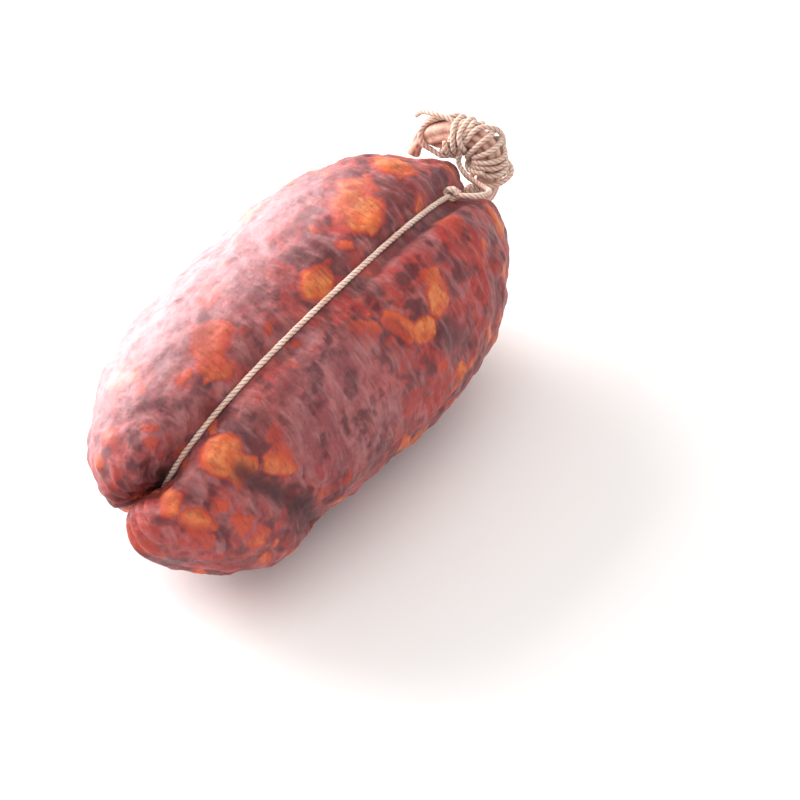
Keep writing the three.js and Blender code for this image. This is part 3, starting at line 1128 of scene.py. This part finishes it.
        # Painted shade: the fold, the furrow's deep side beside the twine, the strip under the twine, the
        # gathered ends and the bend by the neck are darkened where shade falls; the seam term is random
        # darker blotches.
        seam = 0.3 * smoothstep(0.25, 0.75, noise(own, 10.0, 28, 3))
        fold = 0.85 * np.exp(-((self.fold_distance(own) / 3.2) ** 2))
        deep = smoothstep(-4, 20, x) * smoothstep(68, 54, x) * (q > 0)
        beside = 0.55 * deep * np.exp(-(((p + 3.2) / 2.4) ** 2))
        under_twine = 0.35 * np.exp(-((p / 1.8) ** 2))
        ends = 0.7 * smoothstep(14, 5, np.hypot(p, q)) * smoothstep(58, 68, np.abs(x))
        ends = np.where(x < 0, ends * smoothstep(3.5, 1.0, np.abs(p)), ends)
        inside_bend = 0.6 * self.reach(own, (77, 5, 10), 6.5)
        seams_and_painted_shade = np.max([seam, fold, beside, under_twine, ends, inside_bend], axis=0)
        store(mesh, "seams_and_painted_shade", seams_and_painted_shade * (1 - tail))
        # The pale bloom, laid strongest on the upper side as a painted haze of light, with a thin random
        # bloom all over.
        upper = smoothstep(8, 34, p) * smoothstep(60, 10, x) * smoothstep(-30, 10, q)
        patchy = 0.5 + 0.5 * noise(own, 15.0, 50, 3)
        store(mesh, "bloom_and_painted_haze", np.clip(upper * (0.5 + 0.16 * patchy) + 0.13 * patchy, 0, 1))
        store(mesh, "tail", tail)
        # How deep each place lies in a fold, for the painted shade there.
        store(mesh, "tail_fold_shade", self.tail_folds(own, tail))


# --------------------------------------------------------------------------- the twine


class Lay(Enum):
    """Which way the plies turn."""

    RIGHT = 1
    LEFT = -1


@dataclass
class Strand:
    """One length of three-ply twine along a route."""

    radius: float = 0.9
    plies: int = 3
    lay_length: float = 4.8  # one full turn of the plies, about two and a half diameters
    lay: Lay = Lay.RIGHT
    spacing: float = 0.42
    around: int = 24

    def mesh(self, line: np.ndarray) -> tuple[np.ndarray, list, np.ndarray]:
        """Twists the plies along a line.

        Args:
            line: the route in mm, in the row's frame.

        Returns:
            The corners, the faces, and at each corner how deep it lies between the plies.
        """
        line = even(line, self.spacing)
        along = np.arange(len(line)) * self.spacing
        turn = self.lay.value * 2 * math.pi * along / self.lay_length
        angle = np.linspace(0, 2 * math.pi, self.around, endpoint=False)
        valley = np.abs(np.cos(self.plies / 2 * angle)) ** 0.55
        profile = self.radius * (0.76 + 0.2 * valley)
        ripple = 1 + 0.05 * np.sin(along * 0.9)[:, None]
        radius = profile[None, :] * ripple
        facing = angle[None, :] + turn[:, None]
        section = np.stack([radius * np.cos(facing), radius * np.sin(facing)], axis=2)
        points, faces = swept(line, section)
        depth = np.tile(1 - valley, len(line))
        return points, faces, np.clip(depth, 0, 1) ** 1.4


@dataclass
class TwinePiece:
    """One named piece of twine, made of one or more strands."""

    name: str
    nodes: tuple[str, ...]
    routes: list
    strand: Strand = field(default_factory=Strand)

    def build(self, material: bpy.types.Material) -> bpy.types.Object:
        """Makes the piece.

        Args:
            material: the twine's material.

        Returns:
            The piece.
        """
        points, faces, depths = [], [], []
        start = 0
        for route in self.routes:
            strand_points, strand_faces, depth = self.strand.mesh(route)
            faces += [[corner + start for corner in face] for face in strand_faces]
            points.append(strand_points)
            depths.append(depth)
            start += len(strand_points)
        piece = made(self.name, np.vstack(points), faces)
        # How deep each corner lies between the plies, for the painted shade there.
        store(piece.data, "valley", np.concatenate(depths))
        piece.data.materials.append(material)
        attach(piece, "root")
        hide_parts(*self.nodes)
        return piece


@dataclass
class Tying:
    """All the twine: the length round the sausage, its hitch, and what binds the folded tail."""

    body: Body
    casing: BVHTree
    finish: CottonTwine = field(default_factory=CottonTwine)
    knot_set_back: float = 11.0
    bedding: float = 0.75  # height of the twine's middle over the casing
    thickness: float = 1.7  # least distance between the middles of two strands that cross
    settling_steps: int = 60
    settling_spacing: float = 0.5
    same_turn: int = 10  # points this near along one strand are the same turn

    def casing_at(self, point: np.ndarray) -> tuple[np.ndarray, np.ndarray, float]:
        """Finds the casing nearest to a place.

        Args:
            point: the place, in mm.

        Returns:
            The nearest place on the casing in mm, its normal, and the gap to it in mm.
        """
        place, normal, _, _ = self.casing.find_nearest(Vector(point * MM))
        gap = (Vector(point * MM) - place).dot(normal) / MM
        return np.array(place) / MM, np.array(normal), gap

    def laid(self, line: np.ndarray, height: float, snap: bool) -> np.ndarray:
        """Lays a line on the casing.

        Args:
            line: the route in mm.
            height: how far its middle stays from the casing.
            snap: whether it is drawn down as well as pushed out.

        Returns:
            The moved route, smoothed a little.
        """
        moved = []
        for point in line:
            place, normal, gap = self.casing_at(point)
            if snap or gap < height:
                point = place + normal * height
            moved.append(point)
        moved = np.array(moved)
        for _ in range(3):
            moved[1:-1] = (moved[:-2] + 2 * moved[1:-1] + moved[2:]) / 4
        return moved

    def settled(self, routes: list[np.ndarray]) -> list[np.ndarray]:
        """Moves strands apart, so that they ride over one another and over the casing.

        Args:
            routes: the routes in mm; the first one stays where it is.

        Returns:
            The moved routes.
        """
        lines = [even(route, self.settling_spacing) for route in routes]
        starts = np.cumsum([0] + [len(line) for line in lines])
        strand = np.repeat(np.arange(len(lines)), np.diff(starts))
        points = np.vstack(lines)
        rest = points.copy()
        for _ in range(self.settling_steps):
            tree = KDTree(len(points))
            for number, point in enumerate(points):
                tree.insert(point, number)
            tree.balance()
            push = np.zeros_like(points)
            for number, point in enumerate(points):
                nearest = self.thickness
                for place, other, away in tree.find_range(point, self.thickness):
                    one_strand = strand[number] == strand[other]
                    if one_strand and abs(number - other) < self.same_turn:
                        continue
                    if away < nearest:
                        nearest = away
                        push[number] = (point - np.array(place)) / max(away, 0.001)
                push[number] *= 0.5 * (self.thickness - nearest)
            moved = points + push - rest
            for start, end in zip(starts, starts[1:]):
                run = moved[start:end]
                run[1:-1] = (run[:-2] + 4 * run[1:-1] + run[2:]) / 6
            moved[strand == 0] = 0
            points = rest + moved
            for number in np.flatnonzero(strand > 0):
                _, normal, gap = self.casing_at(points[number])
                points[number] += normal * max(0.0, self.bedding - gap)
        return [points[start:end] for start, end in zip(starts, starts[1:])]

    @property
    def knot_turn(self) -> float:
        """Where over the furrow the hitch is tied."""
        station = 1 - self.knot_set_back / self.body.neck_end
        return math.acos(station ** (self.body.fullness / 2))

    def lengthwise(self) -> TwinePiece:
        """The run along the top, round the end, back underneath and out to the neck."""
        turns = np.linspace(self.knot_turn - 0.02, 2 * math.pi - 0.42, 240)
        run = self.laid(self.body.over_furrow(turns, self.bedding), self.bedding, snap=True)
        leaving = self.body.to_row(np.array([[self.body.neck_end + 8.2, 0, -5.7]]))
        whole = through(np.vstack([run[::6], leaving]), 0.5)
        return TwinePiece("lengthwise_twine_run", ("lengthwise_twine",), [whole])

    def hitch(self) -> TwinePiece:
        """The hitch: two tight turns round the run of twine, crossed by a third."""
        middle = self.body.over_furrow(np.array([self.knot_turn]), 1.9)[0]
        ahead = self.body.over_furrow(np.array([self.knot_turn + 0.03]), 1.9)[0]
        along = (middle - ahead) / np.linalg.norm(middle - ahead)
        side = np.cross(along, [0, 0, 1.0])
        side /= np.linalg.norm(side)
        up = np.cross(side, along)

        def turned_round(turns: float, pitch: float, lean: float) -> np.ndarray:
            """A few tight turns about the run.

            Args:
                turns: how many.
                pitch: mm along the run for each.
                lean: how far the turns lean along the run, in mm.

            Returns:
                The route in mm.
            """
            t = np.linspace(0, 2 * math.pi * turns, int(40 * turns))
            forward = (t / (2 * math.pi) - turns / 2) * pitch + lean * np.sin(t)
            return (
                middle
                + forward[:, None] * along
                + 1.75 * np.cos(t)[:, None] * side
                + 1.45 * np.sin(t)[:, None] * up
            )

        return TwinePiece(
            "twine_hitch", ("top_knot",), [turned_round(2.1, 1.7, 0.5), turned_round(1.0, 0.6, -1.6)]
        )

    def neck_strand(self) -> TwinePiece:
        """From the hitch over the lobe's shoulder, across the upright, down and into the neck binding."""
        stops = [
            [-10.2, -10.6, 23.6], [-9.6, -13, 24.4], [-8.2, -15.4, 24.6], [-5.8, -16.6, 23.6],
            [-2, -16.4, 21.4], [2, -14.6, 18.6], [5.4, -12, 15.2], [7.8, -9, 12.8], [9.4, -5.2, 11.4],
            [10.9, 0.3, 11], [12.2, 3.9, 12.8], [13, 4.8, 16], [12.9, 4, 19.6], [14.8, 2.6, 23.2],
            [18.6, 0, 24.8], [21.8, -3, 22.6], [25.2, -3.2, 17.8], [26.2, -3, 11.5], [25.8, -3, 5.5],
            [24, -3.1, 0.6], [21, -2.8, -3.6], [17.8, -1.8, -5.4], [14.8, -0.4, -5.2],
            [12.2, 1.4, -4.0],
        ]
        line = self.laid(self.free(stops), 0.85, snap=False)
        return TwinePiece("neck_strand_twine", ("neck_strand",), [line])

    def wound(self, start: float, turns: float, pitch: float, seed: int, extra: float = 0.0) -> np.ndarray:
        """Winds twine round the tail.

        Args:
            start: distance along the tail from the end of the furrow, in mm.
            turns: how often it goes round.
            pitch: mm along the tail for each turn.
            seed: tells one winding's unevenness from another's.
            extra: how far it stands out from the first layer, in mm.

        Returns:
            The route in mm.
        """
        spine = through(self.body.beyond_furrow(TAIL_STOPS), 0.25)
        _, side, up = carried_axes(spine)
        share = np.linspace(0, 1, int(turns * 48))
        place = start + 12.0 + share * turns * pitch
        angle = 2 * math.pi * turns * share + seed
        uneven = noise(np.stack([share * turns * 3, share * 0, share * 0 + seed], axis=1), 1.0, seed, 2)
        place = place + 0.45 * uneven + 0.5 * np.sin(angle + seed)
        index = place / 0.25

        def at(values: np.ndarray) -> np.ndarray:
            """Reads a row of the spine between its points."""
            whole = np.arange(len(values))
            return np.stack([np.interp(index, whole, values[:, i]) for i in range(3)], axis=1)

        radius = np.interp(place - 12, TAIL_DISTANCES, TAIL_RADII) * 1.08 + self.bedding
        radius = radius + extra + 0.22 * uneven
        return (
            at(spine)
            + (radius * np.cos(angle))[:, None] * at(side)
            + (radius * np.sin(angle))[:, None] * at(up)
        )

    def free(self, stops: list) -> np.ndarray:
        """A smooth route through stops that are measured from the end of the furrow."""
        return through(self.body.beyond_furrow(stops), 0.5)

    def windings(self) -> list[TwinePiece]:
        """The three places where the tail is bound."""
        neck = [self.laid(self.wound(8.8, 3.0, 1.9, 1), self.bedding, snap=False)]
        upright = [self.wound(25.5, 5.3, 2.1, 2), self.wound(21.0, 1.3, 6.5, 5, 0.5)]
        loop = [
            [20.9, 9.7, 14.4], [19.6, 10.6, 19.5], [17.7, 12.9, 22.2], [15.3, 15.8, 22.0],
            [13.3, 17.3, 19.8], [11.7, 16.9, 16.8], [11.5, 14.9, 14.0], [12.2, 12.1, 13.0],
            [14.1, 9.5, 13.7], [15.8, 8.2, 16.5],
        ]
        first_slant = [
            [13.9, 11.1, 10.9], [12.9, 9.7, 15.0], [13.3, 7.8, 19.2], [15.2, 6.3, 21.9],
            [18.8, 6.3, 22.7], [22.9, 8.2, 20.8],
        ]
        second_slant = [
            [15.0, 9.0, 11.3], [13.7, 7.1, 15.5], [14.1, 5.2, 19.7], [15.8, 3.8, 22.4],
            [18.9, 3.6, 23.3], [23.1, 4.8, 21.8],
        ]
        end = [self.laid(self.wound(39.0, 2.6, 2.3, 3), self.bedding, snap=False)]
        end += [self.laid(self.free(stops), 1.0, snap=True) for stops in (loop, first_slant, second_slant)]
        return [
            TwinePiece("neck_binding_twine", ("neck_binding",), neck),
            TwinePiece("upright_winding_twine", ("upright_winding",), upright),
            TwinePiece("end_winding_twine", ("end_winding",), end),
        ]

    def loose_end(self) -> TwinePiece:
        """The free end, let go above the last winding."""
        stops = [
            [16.9, 7.2, 23.6], [15.6, 12.0, 25.0], [15, 16.5, 24.6], [15.2, 20, 23.2],
            [15.4, 22.2, 20.6],
        ]
        return TwinePiece("loose_end_twine", ("loose_end",), [self.free(stops)])

    def build(self) -> list[bpy.types.Object]:
        """Makes every piece of twine."""
        material = self.finish.material()
        crossing = [self.lengthwise(), self.neck_strand(), *self.windings()]
        routes = self.settled([route for piece in crossing for route in piece.routes])
        for piece in crossing:
            piece.routes = [routes.pop(0) for _ in piece.routes]
        # The hitch and the loose end start inside other turns, so they stay as drawn.
        return [piece.build(material) for piece in [*crossing, self.hitch(), self.loose_end()]]


# --------------------------------------------------------------------------- the studio


@dataclass
class Studio:
    """The floor, the lights and the camera."""

    azimuth: float = -54.0
    elevation: float = 45.0
    lens: float = 180.0
    distance_mm: float = 1176.5
    aim_along: float = -2.0  # from the sausage's middle to the picture's, in mm
    aim_right: float = 28.5
    aim_up: float = -13.2
    floor_mm: float = 6000.0

    def axes(self) -> tuple[Vector, Vector, Vector]:
        """The camera's back, right and up directions."""
        a, e = math.radians(self.azimuth), math.radians(self.elevation)
        back = Vector((math.sin(a) * math.cos(e), -math.cos(a) * math.cos(e), math.sin(e)))
        right = Vector((math.cos(a), math.sin(a), 0))
        return back, right, back.cross(right)

    def camera(self, body: Body) -> None:
        """Places the camera.

        Args:
            body: the sausage's sizes, for the height of its middle.
        """
        back, right, up = self.axes()
        middle = Vector((self.aim_along, 0, body.rest_height))
        aim = middle + self.aim_right * right + self.aim_up * up
        camera = bpy.data.objects.new("camera", bpy.data.cameras.new("camera"))
        camera.data.lens = self.lens
        camera.data.sensor_width = 36.0
        camera.data.clip_start = 0.01
        camera.matrix_world = Matrix.Translation((aim + self.distance_mm * back) * MM) @ (
            Matrix((right, up, back)).transposed().to_4x4()
        )
        bpy.context.scene.collection.objects.link(camera)
        bpy.context.scene.camera = camera

    def softbox(self, name: str, at: tuple, size: float, watts: float, colour: str) -> None:
        """Hangs a soft light that faces the sausage.

        Args:
            name: the light's name.
            at: where it hangs, in mm from the sausage: right, up and back as the camera sees it.
            size: the side of the box, in mm.
            watts: its power.
            colour: its colour, as hex.
        """
        back, right, up = self.axes()
        light = bpy.data.lights.new(name, "AREA")
        light.shape = "SQUARE"
        light.size = size * MM
        light.energy = watts
        light.color = linear(colour)[:3]
        box = bpy.data.objects.new(name, light)
        place = (right * at[0] + up * at[1] + back * at[2]) * MM
        place.z = max(place.z, 0.12)
        box.location = place
        box.rotation_euler = (place - Vector((0, 0, 0.04))).to_track_quat("Z", "Y").to_euler()
        bpy.context.scene.collection.objects.link(box)

    def floor(self) -> None:
        """Lays the pale floor."""
        half = self.floor_mm / 2
        corners = np.array([[-half, -half, 0], [half, -half, 0], [half, half, 0], [-half, half, 0]])
        floor = made("floor", corners, [[0, 1, 2, 3]], smooth=False)
        material, tree, output = fresh_material("white_studio_paper")
        place = add(tree, "ShaderNodeTexCoord").outputs["Object"]
        grain = add(tree, "ShaderNodeTexNoise", {"Scale": per_metre(2.0)}, {"Vector": place})
        bump = add(
            tree,
            "ShaderNodeBump",
            {"Strength": 0.05, "Distance": 0.05 * MM},
            {"Height": grain.outputs["Fac"]},
        )
        shader = add(
            tree,
            "ShaderNodeBsdfPrincipled",
            {"Base Color": linear("#fdfcfc"), "Roughness": 0.9},
            {"Normal": bump.outputs["Normal"]},
        )
        tree.links.new(shader.outputs["BSDF"], output.inputs["Surface"])
        floor.data.materials.append(material)

    def lights(self) -> None:
        """Sets the lights and the room's own pale light."""
        self.softbox("window_light", (-500, 460, -20), 560, 9.3, "#fffaf8")
        self.softbox("front_fill", (60, 420, 620), 700, 2.0, "#fff6ee")
        world = bpy.data.worlds.new("pale_room")
        world.use_nodes = True
        world.node_tree.nodes["Background"].inputs["Color"].default_value = linear("#ffffff")
        world.node_tree.nodes["Background"].inputs["Strength"].default_value = 0.68
        bpy.context.scene.world = world

    def colours(self) -> None:
        """Shows colours as they are."""
        bpy.context.scene.view_settings.view_transform = "Standard"
        bpy.context.scene.view_settings.look = "None"

    def build(self, body: Body) -> None:
        """Sets up the whole studio round the sausage."""
        self.camera(body)
        self.floor()
        self.lights()
        self.colours()


def main() -> None:
    """Builds the studio, the sausage and its twine, in that order."""
    logging.basicConfig(level=logging.INFO, format="%(name)s: %(message)s")
    sausage = Sausage()
    Studio().build(sausage.body)
    skin = sausage.build()
    LOG.info("%s: %d corners", skin.name, len(skin.data.vertices))
    faces = [tuple(polygon.vertices) for polygon in skin.data.polygons]
    casing = BVHTree.FromPolygons(read(skin.data, "co").tolist(), faces)
    for piece in Tying(sausage.body, casing).build():
        LOG.info("%s: %d corners", piece.name, len(piece.data.vertices))


if __name__ == "__main__":
    main()
